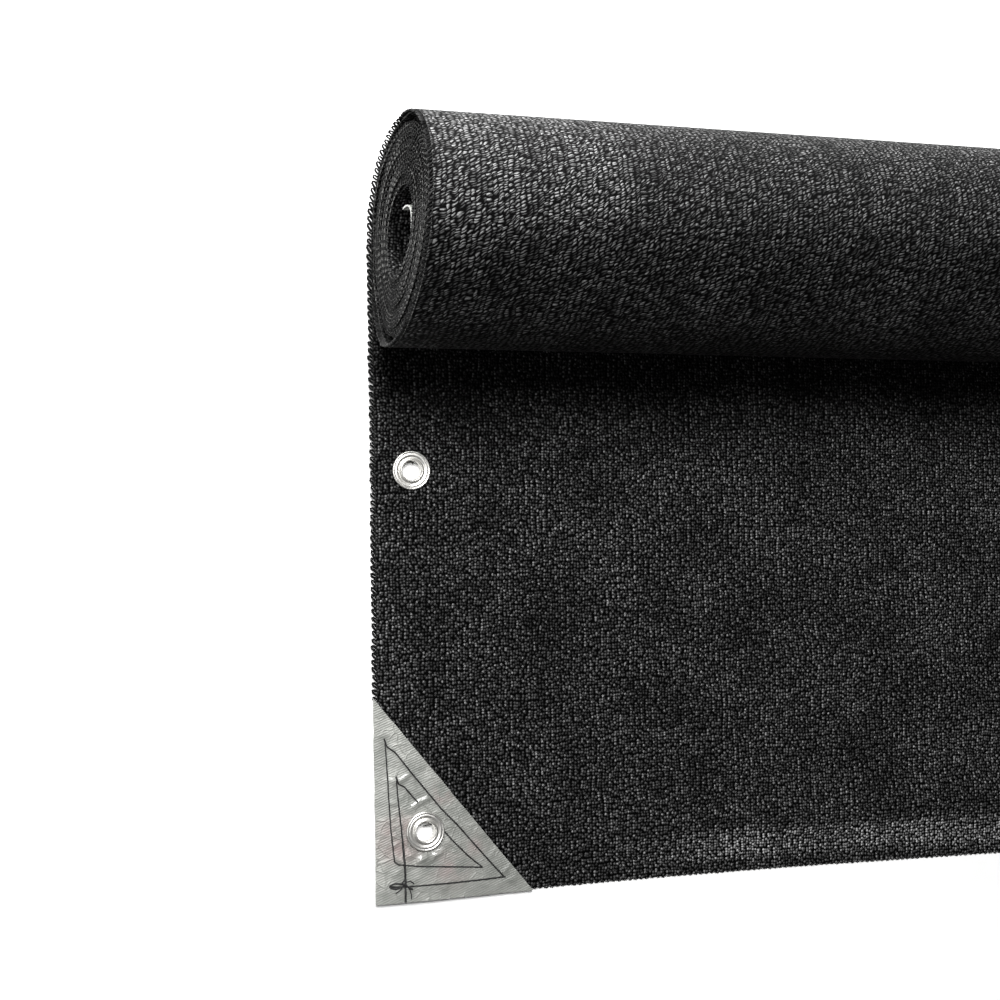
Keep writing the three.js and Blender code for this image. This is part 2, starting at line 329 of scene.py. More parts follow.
def clothSpace(tree, wale, course, lean, bends):  # the weave's own UV in wales and courses, uneven
    uv = addNode(tree, "UVMap", uv_map="weave")
    bent = uv
    for bend in bends:
        clouds = {"Vector": uv, "Scale": 1 / bend["size"], "Detail": bend["detail"]}
        cloudy = addNode(tree, "TexNoise", clouds).outputs["Color"]
        centred = addNode(tree, "VectorMath", {0: cloudy, 1: (0.5, 0.5, 0.5)}, operation="SUBTRACT")
        moved = {0: centred, 1: bend["reach"], 2: bent}
        bent = addNode(tree, "VectorMath", moved, operation="MULTIPLY_ADD")
    cells = addNode(tree, "VectorMath", {0: bent, 1: (1 / wale, 1 / course, 0)}, operation="MULTIPLY")
    split = addNode(tree, "SeparateXYZ", {0: cells})
    across, along = split.outputs["X"], split.outputs["Y"]
    leaned = addNode(tree, "Math", {0: across, 1: lean, 2: along}, operation="MULTIPLY_ADD")
    return uv, across, leaned

def strands(tree, uv, wide, long):  # fine strands within a stitch, 0 to 1
    thin = addNode(tree, "VectorMath", {0: uv, 1: (1 / wide, 1 / long, 0)}, operation="MULTIPLY")
    grain = addNode(tree, "TexNoise", {"Vector": thin, "Scale": 1.0, "Detail": 2.0})
    return addNode(tree, "MapRange", {"Value": grain, "From Min": 0.42, "From Max": 0.72})

def knitShading(tree, shader, loop, shares, grain, bright):  # the shares make a loop brighter or dimmer
    lit = addNode(tree, "MapRange", {"Value": grain, "To Min": 0.6, "To Max": 1.3})
    for share in shares:
        lit = addNode(tree, "Math", {0: lit, 1: share}, operation="MULTIPLY")
    lit = addNode(tree, "Math", {0: lit, 1: loop}, operation="MULTIPLY", use_clamp=True)
    # the loops' light colour is partly the yarn's dusty grey and partly a painted sheen, standing in for
    # the glints of the slick tapes
    colours = {"Factor": lit, "A": sRgb("#020202"), "B": sRgb(bright)}
    colour = addNode(tree, "Mix", colours, data_type="RGBA").outputs["Result"]
    rough = addNode(tree, "MapRange", {"Value": loop, "To Min": 0.7, "To Max": 0.34})
    height = addNode(tree, "Math", {0: grain, 1: 0.3, 2: loop}, operation="MULTIPLY_ADD")
    bump = addNode(tree, "Bump", {"Height": height, "Strength": 0.85, "Distance": 0.6 * mm})
    feed(tree, shader, colour=colour, roughness=rough.outputs[0], normal=bump.outputs[0])

def paintedRollShade(tree, along):  # painted shade: the laid cloth is painted darker towards the roll, where the roll's shadow falls
    inputs = {"Value": along, "From Min": chainLoop["rollShadeFrom"], "From Max": chainLoop["rollShadeTo"],
              "To Min": 1.0, "To Max": chainLoop["rollShadeShare"]}
    return addNode(tree, "MapRange", inputs)

def frontCreaseHighlight(tree, across, along):  # painted highlight: a band behind the front edge is painted brighter, as where the crease there catches the light
    behind = addNode(tree, "Math", {0: along, 1: chainLoop["creaseAt"]}, operation="SUBTRACT")
    fromCrest = addNode(tree, "Math", {0: behind}, operation="ABSOLUTE")
    band = addNode(tree, "MapRange", {"Value": fromCrest, "From Min": 11 * mm, "From Max": 4 * mm},
                   interpolation_type="SMOOTHSTEP")
    reach = addNode(tree, "MapRange", {"Value": across, "From Min": 120 * mm, "From Max": 200 * mm},
                    interpolation_type="SMOOTHSTEP")
    share = addNode(tree, "Math", {0: band, 1: reach}, operation="MULTIPLY")
    return addNode(tree, "MapRange", {"Value": share, "To Min": 1.0, "To Max": chainLoop["creaseHighlightShare"]})

def paintedTopGlint(tree, across, along):  # painted highlight: the roll's top is painted brighter near its left end, standing in for the glints of the light there
    nearEdge = addNode(tree, "MapRange", {"Value": across, "From Min": 155 * mm, "From Max": 30 * mm},
                       interpolation_type="SMOOTHSTEP")
    past = addNode(tree, "Math", {0: along, 1: tapeStroke["glintAt"]}, operation="SUBTRACT")
    fromTop = addNode(tree, "Math", {0: past}, operation="ABSOLUTE")
    onTop = addNode(tree, "MapRange", {"Value": fromTop, "From Min": 75 * mm, "From Max": 35 * mm},
                    interpolation_type="SMOOTHSTEP")
    glintArea = addNode(tree, "Math", {0: nearEdge, 1: onTop}, operation="MULTIPLY")
    return addNode(tree, "MapRange", {"Value": glintArea, "To Min": 0.95, "To Max": tapeStroke["glintShare"]})

def chainSideMaterial():
    # Warp-knitted HDPE tape, chain side: black, with rows of small loops over dark gaps; the loops' light
    # tone is partly dusty grey and partly a painted sheen
    material, tree, shader = newMaterial("knitted polyethylene chain side", {"Specular IOR Level": 0.02})
    uv, across, along = clothSpace(tree, cloth["wale"], cloth["course"], 0.0, clothBends)
    column = addNode(tree, "Math", {0: across, 1: chainLoop["perWale"]}, operation="MULTIPLY")
    place = addNode(tree, "CombineXYZ", {"X": column, "Y": along})
    cells = {"Vector": place, "Scale": 1.0, "Randomness": chainLoop["uneven"]}
    dots = addNode(tree, "TexVoronoi", cells, voronoi_dimensions="2D")
    edges = {"Value": dots.outputs["Distance"], "From Min": chainLoop["outer"],
             "From Max": chainLoop["inner"]}
    loop = addNode(tree, "MapRange", edges, interpolation_type="SMOOTHSTEP")
    chance = addNode(tree, "SeparateColor", {0: dots.outputs["Color"]})
    rare = addNode(tree, "Math", {0: chance.outputs["Red"], 1: chainLoop["rarity"]}, operation="POWER")
    loudness = addNode(tree, "MapRange", {"Value": rare, "To Min": chainLoop["dimmest"]})
    turn = addNode(tree, "Math", {0: across, 1: 2 * math.pi}, operation="MULTIPLY")
    columns = addNode(tree, "Math", {0: turn}, operation="SINE")
    columnShare = addNode(tree, "MapRange", {"Value": columns, "From Min": -1.0, "To Min": 0.4})
    zones = addNode(tree, "TexNoise", {"Vector": uv, "Scale": 1 / (38.46 * mm), "Detail": 2.0})
    zoneShare = addNode(tree, "MapRange", {"Value": zones, "From Min": 0.3, "From Max": 0.7, "To Min": 0.5})
    spot = addNode(tree, "SeparateXYZ", {0: uv})
    # painted highlight along the crease behind the front edge
    crease = frontCreaseHighlight(tree, spot.outputs["X"], spot.outputs["Y"])
    # painted shade: the laid cloth is darkened towards the roll
    rollShade = paintedRollShade(tree, spot.outputs["Y"])
    grain = strands(tree, uv, 0.55 * mm, 2.4 * mm)
    knitShading(tree, shader, loop, [loudness, columnShare, zoneShare, crease, rollShade], grain, "#bababa")
    return material

def tapeSideMaterial():
    # Warp-knitted HDPE tape, back: flat tapes cross from wale to wale as slanted strokes
    material, tree, shader = newMaterial("knitted polyethylene tape side", {"Specular IOR Level": 0.03})
    uv, across, along = clothSpace(tree, cloth["tapeWale"], cloth["tapeRow"], 1.0, tapeBends)
    wale = addNode(tree, "Math", {0: across}, operation="FLOOR")
    inWale = addNode(tree, "Math", {0: across}, operation="FRACT")
    waleChance = addNode(tree, "TexWhiteNoise", {"W": wale}, noise_dimensions="1D")
    shift = {0: waleChance.outputs["Value"], 1: tapeStroke["waleShift"], 2: along}
    course = addNode(tree, "Math", shift, operation="MULTIPLY_ADD")
    row = addNode(tree, "Math", {0: course}, operation="FLOOR")
    inRow = addNode(tree, "Math", {0: course}, operation="FRACT")
    stitch = addNode(tree, "CombineXYZ", {"X": wale, "Y": row})
    chance = addNode(tree, "TexWhiteNoise", {"Vector": stitch}, noise_dimensions="2D")
    jitter = {0: chance.outputs["Color"], 1: tapeStroke["jitter"], 2: tapeStroke["middle"]}
    moved = addNode(tree, "VectorMath", jitter, operation="MULTIPLY_ADD")
    offset = addNode(tree, "CombineXYZ", {"X": inWale, "Y": inRow})
    shifted = addNode(tree, "VectorMath", {0: offset, 1: moved}, operation="ADD")
    squeezed = addNode(tree, "VectorMath", {0: shifted, 1: tapeStroke["squeeze"]}, operation="MULTIPLY")
    far = addNode(tree, "VectorMath", {0: squeezed}, operation="LENGTH")
    edges = {"Value": far.outputs["Value"], "From Min": tapeStroke["outer"],
             "From Max": tapeStroke["inner"]}
    loop = addNode(tree, "MapRange", edges, interpolation_type="SMOOTHSTEP")
    rare = addNode(tree, "Math", {0: chance.outputs["Value"], 1: tapeStroke["rarity"]}, operation="POWER")
    loudness = addNode(tree, "MapRange", {"Value": rare, "To Min": tapeStroke["dimmest"]})
    zones = addNode(tree, "TexNoise", {"Vector": uv, "Scale": 1 / (33.33 * mm), "Detail": 2.0})
    patchy = {"Value": zones, "From Min": 0.3, "From Max": 0.7, "To Min": 0.62, "To Max": 1.1}
    zoneShare = addNode(tree, "MapRange", patchy)
    spot = addNode(tree, "SeparateXYZ", {0: uv})
    # painted glint on the roll's top near its left end
    topGlint = paintedTopGlint(tree, spot.outputs["X"], spot.outputs["Y"])
    grain = strands(tree, uv, 1.6 * mm, 0.5 * mm)
    knitShading(tree, shader, loop, [loudness, zoneShare, topGlint], grain, "#7e7e7e")
    return material

stains = [  # faint brown tints of the left patch, in mm from its corner
    dict(x=12, y=30, radius=19, share=0.9),
    dict(x=35, y=52, radius=9, share=1.0),
    dict(x=38, y=14, radius=16, share=0.6),
    dict(x=52, y=24, radius=9, share=0.5),
]

def patchTint(tree, place, cloudy):
    greyShare = addNode(tree, "MapRange", {"Value": cloudy, "From Min": 0.35, "From Max": 0.68})
    greys = {"Factor": greyShare, "A": sRgb("#7c7e79"), "B": sRgb("#9a9b96")}
    tinted = addNode(tree, "Mix", greys, data_type="RGBA").outputs["Result"]
    cloudShare = addNode(tree, "MapRange", {"Value": cloudy, "From Min": 0.4, "From Max": 0.6})
    for stain in stains:
        middle = (cloth["left"] + stain["x"] * mm, cloth["front"] + stain["y"] * mm, 3 * mm)
        apart = addNode(tree, "VectorMath", {0: place, 1: middle}, operation="DISTANCE")
        fade = {"Value": apart.outputs["Value"], "From Min": stain["radius"] * mm, "From Max": 0.0,
                "To Max": stain["share"]}
        near = addNode(tree, "MapRange", fade, interpolation_type="SMOOTHSTEP")
        share = addNode(tree, "Math", {0: near, 1: cloudShare}, operation="MULTIPLY")
        browned = {"Factor": share, "A": tinted, "B": sRgb("#8d7b79")}
        tinted = addNode(tree, "Mix", browned, data_type="RGBA").outputs["Result"]
    return tinted

def patchCrumple(tree, place, cloudy):  # sharp small folds in places, and round the eyelet
    bend = addNode(tree, "TexNoise", {"Vector": place, "Scale": 1 / (8.333 * mm)})
    sway = {0: bend.outputs["Color"], 1: (4 * mm, 4 * mm, 0), 2: place}
    bent = addNode(tree, "VectorMath", sway, operation="MULTIPLY_ADD")
    cells = {"Vector": bent, "Scale": 1 / (6 * mm)}
    crumple = addNode(tree, "TexVoronoi", cells, feature="DISTANCE_TO_EDGE")
    ridge = addNode(tree, "MapRange", {"Value": crumple, "From Min": 0.09, "From Max": 0.0})
    middle = (abs(cloth["left"] + cornerEyelet["x"]), abs(cloth["front"] + cornerEyelet["y"]), 3 * mm)
    eitherSide = addNode(tree, "VectorMath", {0: place}, operation="ABSOLUTE")
    apart = addNode(tree, "VectorMath", {0: eitherSide, 1: middle}, operation="DISTANCE")
    fade = {"Value": apart.outputs["Value"], "From Min": 23 * mm, "From Max": 15 * mm, "To Max": 0.7}
    around = addNode(tree, "MapRange", fade, interpolation_type="SMOOTHSTEP")
    patchy = addNode(tree, "MapRange", {"Value": cloudy, "From Min": 0.5, "From Max": 0.62})
    creased = addNode(tree, "Math", {0: patchy, 1: around}, operation="MAXIMUM")
    return addNode(tree, "Math", {0: ridge, 1: creased}, operation="MULTIPLY")

def patchMaterial():
    # Tarpaulin: woven tape between clear coats, silver grey, faintly ribbed, with glossy creases
    fixed = {"Roughness": 0.42, "Coat Weight": 0.8, "Coat Roughness": 0.1}
    material, tree, shader = newMaterial("coated tarpaulin", fixed)
    place = addNode(tree, "TexCoord").outputs["Object"]
    cloudy = addNode(tree, "TexNoise", {"Vector": place, "Scale": 1 / (11.11 * mm), "Detail": 6.0})
    slanted = addNode(tree, "VectorMath", {0: place, 1: (-0.36, 0.93, 0)}, operation="DOT_PRODUCT")
    tapes = {0: slanted.outputs["Value"], 1: 2 * math.pi / (1.15 * mm)}  # tapes 1.15 mm wide
    turns = addNode(tree, "Math", tapes, operation="MULTIPLY")
    ribs = addNode(tree, "Math", {0: turns}, operation="SINE")
    crinkle = addNode(tree, "TexNoise", {"Vector": place, "Scale": 1 / (2.381 * mm), "Detail": 5.0})
    ribbed = addNode(tree, "Math", {0: ribs, 1: 0.12, 2: crinkle}, operation="MULTIPLY_ADD")
    folded = {0: patchCrumple(tree, place, cloudy), 1: 0.7, 2: ribbed}
    relief = addNode(tree, "Math", folded, operation="MULTIPLY_ADD")
    bump = addNode(tree, "Bump", {"Height": relief, "Strength": 0.8, "Distance": 0.5 * mm})
    feed(tree, shader, colour=patchTint(tree, place, cloudy), normal=bump.outputs[0])
    return material

def eyeletMaterial():
    # Pressed aluminium: bright and satin, with fine scratches from the die
    material, tree, shader = newMaterial("pressed aluminium", {"Metallic": 1.0})
    place = addNode(tree, "TexCoord").outputs["Object"]
    scratches = addNode(tree, "TexNoise", {"Vector": place, "Scale": 1 / (1.1111 * mm), "Detail": 4.0})
    cloudy = addNode(tree, "TexNoise", {"Vector": place, "Scale": 1 / (6.25 * mm)})
    colours = {"Factor": cloudy, "A": sRgb("#d2d1cc"), "B": sRgb("#eeece8")}
    colour = addNode(tree, "Mix", colours, data_type="RGBA").outputs["Result"]
    rough = addNode(tree, "MapRange", {"Value": scratches, "To Min": 0.3, "To Max": 0.55})
    feed(tree, shader, colour=colour, roughness=rough.outputs[0])
    return material

def yarnMaterial(name, fixed, dark, light, grain):
    material, tree, shader = newMaterial(name, fixed)
    place = addNode(tree, "TexCoord").outputs["Object"]
    uneven = addNode(tree, "TexNoise", {"Vector": place, "Scale": 1 / grain, "Detail": 2.0})
    bump = addNode(tree, "Bump", {"Height": uneven, "Strength": 0.4, "Distance": 0.2 * mm})
    share = addNode(tree, "MapRange", {"Value": uneven, "From Min": 0.36, "From Max": 0.66})
    colours = {"Factor": share, "A": sRgb(dark), "B": sRgb(light)}
    colour = addNode(tree, "Mix", colours, data_type="RGBA").outputs["Result"]
    feed(tree, shader, colour=colour, normal=bump.outputs[0])
    return material

chainSide = chainSideMaterial()
tapeSide = tapeSideMaterial()
tarpaulin = patchMaterial()
aluminium = eyeletMaterial()
# Polyester sewing thread: black and matt, with the twist of its plies
thread = yarnMaterial("polyester thread", {"Roughness": 0.75}, "#0a0a0a", "#262626", 0.7 * mm)
# HDPE yarn of the edges: black and rather matt
edgeYarn = yarnMaterial("polyethylene yarn", {"Roughness": 0.6, "Specular IOR Level": 0.1},
                        "#040404", "#202020", 1.4 * mm)
# HDPE tapes seen edge on at the cloth's sides: black with worn, lighter specks
tapeEdges = yarnMaterial("polyethylene tape edges", {"Roughness": 0.6, "Specular IOR Level": 0.1},
                         "#020202", "#6c6c6a", 2.0 * mm)
print("materials made")

# Cloth: one sheet from the front edge, under the roll and round to its inner end

clothMesh = {
    "edgeBand": 42 * mm,  # with finer columns, for the eyelets
    "fineStep": 2.5 * mm,
    "wideStep": 6 * mm,
    "eyeletHole": 6.6 * mm,  # radius, hidden by the eyelet
    "stepAngle": 7.5,
    "coarseFrom": 400,  # inside the roll only each twelfth column goes on
    "coarseEvery": 12,
}

rowBands = [  # of the laid sheet, from the front edge in mm, finer at the eyelets
    dict(start=0, end=20, step=4),
    dict(start=20, end=46, step=2.5),
    dict(start=46, end=202, step=5),
    dict(start=202, end=230, step=2.5),
    dict(start=230, end=328, step=6),
]

def stepsBetween(start, end, step):
    count = max(1, math.ceil((end - start) / step - 1e-6))
    return [start + (end - start) * i / count for i in range(count)]

def clothColumns():  # finer near the eyelets
    inset, edge, width = cloth["edgeInset"], clothMesh["edgeBand"], cloth["width"]
    left = stepsBetween(inset, edge, clothMesh["fineStep"])
    middle = stepsBetween(edge, width - edge, clothMesh["wideStep"])
    return left + middle + [width - x for x in [edge] + left[::-1]]

def clothRows():
    rows = []
    for band in rowBands:
        places = stepsBetween(band["start"] * mm, band["end"] * mm, band["step"] * mm)
        rows += [dict(laid=y) for y in places]
    angle = 0.0
    while angle <= cloth["endAngle"]:
        rows.append(dict(angle=angle))
        angle += clothMesh["stepAngle"]
    return rows

def overEyelet(x, y):
    apart = [math.hypot(fromEnd(x) - place["x"], y - place["y"]) for place in (cornerEyelet, sideEyelet)]
    return min(apart) < clothMesh["eyeletHole"]

def makeCloth():
    fine = clothColumns()
    coarse = [fine[0]] + fine[1:-1:clothMesh["coarseEvery"]] + [fine[-1]]
    rows = clothRows()
    points, uvs, faces = [], [], []
    length, last = 0.0, Vector((0, cloth["front"], 0))
    for row in rows:
        section = clothPoint(cloth["width"] / 2, row)
        if "laid" in row:
            length = row["laid"]
        else:
            length += math.dist(section.yz, last.yz)
        last = section
        row["columns"] = coarse if row.get("angle", 0) > clothMesh["coarseFrom"] else fine
        row["first"] = len(points)
        for x in row["columns"]:
            points.append(clothPoint(x, row))
            uvs.append((x, length))
    for a, b in zip(rows, rows[1:]):
        if len(a["columns"]) == len(b["columns"]):
            for i in range(len(a["columns"]) - 1):
                middle = (a["columns"][i] + a["columns"][i + 1]) / 2
                if "laid" in b and overEyelet(middle, (a["laid"] + b["laid"]) / 2):
                    continue
                faces.append((a["first"] + i, b["first"] + i, b["first"] + i + 1, a["first"] + i + 1))
            continue
        for k in range(len(coarse) - 1):  # fine columns meet coarse ones inside the roll
            under = [i for i, x in enumerate(fine) if coarse[k] <= x <= coarse[k + 1]]
            split = under[len(under) // 2]
            for i in under[:-1]:
                faces.append((a["first"] + i, b["first"] + (k if i < split else k + 1), a["first"] + i + 1))
            faces.append((a["first"] + split, b["first"] + k, b["first"] + k + 1))
    piece = meshPiece("knitted_cloth", points, faces, [tapeSide, chainSide, tapeEdges])
    layer = piece.data.uv_layers.new(name="weave")
    for corner in piece.data.loops:
        layer.data[corner.index].uv = uvs[corner.vertex_index]
    thicken(piece, cloth["thick"], -1, use_even_offset=True, material_offset=1, material_offset_rim=2)
    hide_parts("cloth", "edge_strip_left", "edge_strip_right")
    return finishPiece(piece, "knitted_cloth"), length

clothPiece, clothLength = makeCloth()
print("cloth made:", len(clothPiece.data.polygons), "faces, length", round(clothLength, 3))

# Selvedge: an open yarn loop at each stitch of both side edges, and small ones along the front

edgeLoop = {
    "pitch": 3.7 * mm,
    "halfLength": 2.2 * mm,
    "halfWidth": 0.78 * mm,
    "wire": 0.58 * mm,
    "lean": 44,  # degrees from straight out towards the next stitch
    "inside": 1.0 * mm,  # the loop's middle, from the cloth's nominal edge inwards
    "start": 100 * mm,  # there are none beside the corner patch
    "hiddenFrom": 330,  # degrees; the loops of the turns inside the roll are small and set in
    "hiddenSize": 0.4,
    "hiddenInset": 0.8 * mm,
}

frontLoop = {
    "halfLength": 1.15 * mm,
    "halfWidth": 0.6 * mm,
    "wire": 0.24 * mm,
    "lean": 70,
    "inside": 0.1 * mm,
    "start": 84 * mm,
}

unevenLoops = {
    "lean": 12,  # degrees either way
    "least": 0.85,
    "most": 1.12,
    "sideways": 0.15,  # mm
}

def makeLoopPattern(loop):
    deselectAll()
    bpy.ops.curve.primitive_bezier_circle_add(radius=1)
    pattern = bpy.context.object
    for point in pattern.data.splines[0].bezier_points:
        for part in ("co", "handle_left", "handle_right"):
            place = getattr(point, part)
            setattr(point, part, (place.x * loop["halfLength"], place.y * loop["halfWidth"], 0))
    pattern.data.resolution_u = 2
    pattern.data.bevel_depth = loop["wire"]
    pattern.data.bevel_resolution = 0
    bpy.ops.object.convert(target="MESH")
    return bpy.context.object

def loopPlace(middle, outward, tangent, lean, scale=1.0):
    turn = math.radians(lean + random.uniform(-unevenLoops["lean"], unevenLoops["lean"]))
    long = outward * math.cos(turn) + tangent * math.sin(turn)
    short = tangent * math.cos(turn) - outward * math.sin(turn)
    face = long.cross(short).normalized()
    size = random.uniform(unevenLoops["least"], unevenLoops["most"]) * scale
    place = Matrix((long * size, short * size, face)).transposed().to_4x4()
    sideways = unevenLoops["sideways"]
    place.translation = middle + face * random.uniform(-sideways, sideways) * mm
    return place

def edgePlaces(pitch):  # one place a stitch, from the corner patch to the inner end
    places = [dict(laid=y) for y in stepsBetween(edgeLoop["start"], cloth["rollY"], pitch)]
    angle = 1.0
    while angle < cloth["endAngle"] - 4:
        places.append(dict(angle=angle))
        angle += math.degrees(pitch / (cloth["rollRadius"] - turnInset(angle)))
    return places

def makeSelvedge(name, x, outwards):
    outward = Vector((outwards, 0, 0))
    pattern = makeLoopPattern(edgeLoop)
    matrices = []
    for place in edgePlaces(edgeLoop["pitch"]):
        key = "laid" if "laid" in place else "angle"
        ahead = {key: place[key] + (0.5 * mm if key == "laid" else 0.5)}
        here = clothPoint(x, place, cloth["thick"] / 2)
        tangent = clothPoint(x, ahead, cloth["thick"] / 2) - here
        tangent.x = 0
        scale = edgeLoop["hiddenSize"] if place.get("angle", 0) > edgeLoop["hiddenFrom"] else 1.0
        here = here - outward * (1 - scale) * edgeLoop["hiddenInset"]
        matrices.append(loopPlace(here, outward, tangent.normalized(), edgeLoop["lean"], scale))
    return finishPiece(repeated(name, pattern, matrices, edgeYarn), name, angle=80)

def makeFrontLoops():
    pattern = makeLoopPattern(frontLoop)
    start, end = frontLoop["start"], cloth["width"] - frontLoop["start"]
    matrices = []
    for x in stepsBetween(start, end, cloth["wale"]):
        middle = onFloor(x, frontLoop["inside"], clothLift(x, 0) + cloth["thick"] / 2)
        matrices.append(loopPlace(middle, Vector((0, -1, 0)), Vector((1, 0, 0)), frontLoop["lean"]))
    loops = repeated("front_loops", pattern, matrices, edgeYarn)
    return finishPiece(loops, "front_loops", angle=80)

selvedgeLeft = makeSelvedge("selvedge_left", edgeLoop["inside"], -1)
selvedgeRight = makeSelvedge("selvedge_right", cloth["width"] - edgeLoop["inside"], 1)
frontLoops = makeFrontLoops()
print("selvedge loops made")

# Corner patches: a sewn triangle of coated sheet, puckered by its stitches and its eyelet

patch = {
    "alongX": 82 * mm,
    "alongY": 100 * mm,
    "thick": 0.8 * mm,
    "overCloth": 0.35 * mm,  # of its underside over the cloth's top
    "cells": 99.5,  # of its mesh along each leg, so the long edge runs midway between vertices
    "eyeletHole": 6.8 * mm,  # radius, hidden by the eyelet
    "wavyEdge": 0.3 * mm,
    "wavyLength": 9 * mm,
}

patchShape = {  # heights and lengths in mm
    "lowest": -0.3,
    "highest": 1.2,
    "waves": [dict(height=0.28, length=17, slice=2), dict(height=0.2, length=4, slice=5)],
    "creaseRise": 1.5,
    "stitchDent": 0.1,
    "dentWidth": 0.9,
    "dentReach": 2.5,
    "pucker": 0.35,  # round the eyelet
    "puckerRing": 12.5,
    "puckerWidth": 2.6,
    "puckerFolds": 7,
}

creases = [  # from and to in mm from the corner, height and half width in mm
    dict(start=(5.7, 60), end=(12.3, 59.4), height=0.45, half=1.1),
    dict(start=(12.3, 59.4), end=(18.4, 63), height=0.5, half=1.0),
    dict(start=(18.2, 45.8), end=(22, 48), height=0.55, half=1.0),
    dict(start=(22, 48), end=(28.6, 50.7), height=0.6, half=1.1),
    dict(start=(21.7, 19.8), end=(26.2, 21.3), height=0.6, half=1.2),
    dict(start=(26.2, 21.3), end=(34, 22.4), height=0.55, half=1.1),
    dict(start=(9.8, 22.6), end=(15, 17), height=0.45, half=1.0),
    dict(start=(59.8, 19), end=(63.5, 22.7), height=0.35, half=0.9),
    dict(start=(65, 8.7), end=(72, 14.4), height=0.4, half=0.9),
    dict(start=(41, 37.6), end=(46.3, 33.6), height=0.35, half=0.9),
    dict(start=(68.8, 5.6), end=(72.5, 6), height=0.45, half=1.0),
    dict(start=(7, 49), end=(11.5, 47.8), height=0.35, half=0.8),
    dict(start=(9, 44), end=(12.5, 43.5), height=0.35, half=0.8),
    dict(start=(16.2, 21.6), end=(20, 23.6), height=0.42, half=0.9),
    dict(start=(19.6, 17.9), end=(24.4, 20), height=0.42, half=0.9),
    dict(start=(26, 18.4), end=(30.2, 20.6), height=0.42, half=0.9),
    dict(start=(30.4, 21), end=(34.4, 24), height=0.42, half=0.9),
    dict(start=(6.4, 40), end=(9.4, 41.4), height=0.32, half=0.7),
    dict(start=(6.8, 36), end=(9.8, 37.4), height=0.32, half=0.7),
    dict(start=(7.2, 31.8), end=(10, 33.2), height=0.32, half=0.7),
    dict(start=(7.8, 27), end=(10.6, 28.6), height=0.32, half=0.7),
    dict(start=(8.4, 13), end=(12.3, 15.8), height=0.32, half=0.7),
    dict(start=(3.9, 1), end=(3.6, 19), height=0.3, half=0.6),
    dict(start=(33, 8), end=(36, 3), height=0.3, half=0.9),
    dict(start=(44, 60), end=(38, 52), height=0.3, half=1.2),
    dict(start=(2, 82), end=(9, 84), height=0.25, half=1.4),
]

stitchRuns = [  # the thread's way in mm from the corner, and its half thickness in mm
    dict(way=[(5, 79.4), (6.2, 51.7), (7, 36.2), (8.8, 20), (10.9, 18.4)], half=0.34),
    dict(way=[(10.9, 18.4), (21.3, 16.7), (42.4, 14.7), (54.7, 13.4)], half=0.34),
    dict(way=[(4.4, 80.6), (6.2, 76.3), (10.1, 73.6), (18.3, 63.1), (33.3, 44.7), (42.7, 35), (54.8, 21),
              (66.9, 7.4)], half=0.36),
    dict(way=[(67.5, 7.4), (57.2, 7.1), (39.1, 6.9), (14.9, 7.1), (6.1, 7.7)], half=0.38),
    dict(way=[(10.2, 61.8), (11.3, 46.9), (12.2, 38.9), (13.1, 29.8)], half=0.38),
    dict(way=[(13.1, 29.8), (14, 18.2), (14.4, 9.6), (14.3, -0.6)], half=0.55),
    dict(way=[(10.2, 61.8), (11.4, 58), (14.5, 56.3), (21.3, 48.3)], half=0.34),
    dict(way=[(33.2, 35.2), (39.4, 28.1), (47.3, 20), (55.2, 13.3)], half=0.34),
]

knotTails = [  # the knot's turns and its loose tails, in mm from the corner
    dict(way=[(6, 8.2), (9, 9.3), (12, 8.8), (14.4, 8), (16.3, 6.6), (18, 5.6)], half=0.42),
    dict(way=[(6.4, 7.2), (9.5, 6.5), (12.6, 7.2), (14.8, 9.4), (13.6, 10.6), (12.6, 9.2), (14, 7)],
         half=0.4),
    dict(way=[(14.2, 8.4), (12.4, 6.6), (10.6, 5), (9.2, 4.2)], half=0.26),
    dict(way=[(15, 7.6), (16.6, 5.4), (17.4, 3), (17.3, 0.8)], half=0.24),
    dict(way=[(14.6, 9.4), (16.8, 9.9), (18.6, 8.4)], half=0.28),
]

def nearestOnLine(x, y, start, end):
    dx, dy = end[0] - start[0], end[1] - start[1]
    share = ((x - start[0]) * dx + (y - start[1]) * dy) / (dx * dx + dy * dy)
    share = min(max(share, 0.0), 1.0)
    return math.hypot(x - start[0] - share * dx, y - start[1] - share * dy), share

def patchRelief(x, y):  # in mm over the flat patch, x and y in mm from the corner
    height = 0.0
    for wave in patchShape["waves"]:
        place = Vector((x / wave["length"], y / wave["length"], wave["slice"]))
        height += wave["height"] * noise.noise(place)
    for crease in creases:
        far, share = nearestOnLine(x, y, crease["start"], crease["end"])
        ridge = math.exp(-(far / crease["half"]) ** 2) * (0.5 + 2 * share * (1 - share))
        height += patchShape["creaseRise"] * crease["height"] * ridge
    for run in stitchRuns:
        for start, end in zip(run["way"], run["way"][1:]):
            far, share = nearestOnLine(x, y, start, end)
            if far < patchShape["dentReach"]:
                height -= patchShape["stitchDent"] * math.exp(-(far / patchShape["dentWidth"]) ** 2)
    dx, dy = x - cornerEyelet["x"] / mm, y - cornerEyelet["y"] / mm
    ring, turn = math.hypot(dx, dy), math.atan2(dy, dx)
    pucker = 0.5 + 0.5 * math.sin(patchShape["puckerFolds"] * turn + 2 * math.sin(3 * turn))
    offRing = (ring - patchShape["puckerRing"]) / patchShape["puckerWidth"]
    height += patchShape["pucker"] * pucker * math.exp(-offRing ** 2)
    return min(max(height, patchShape["lowest"]), patchShape["highest"])

def patchTop(x, y):  # height of the patch's upper face, x and y from the corner
    flat = clothLift(x, y) + cloth["thick"] + patch["overCloth"] + patch["thick"]
    return flat + patchRelief(x / mm, y / mm) * mm

def pastLongEdge(place):  # 0 on the triangle's long edge, more beyond it
    return place.x / patch["alongX"] + place.y / patch["alongY"] - 1

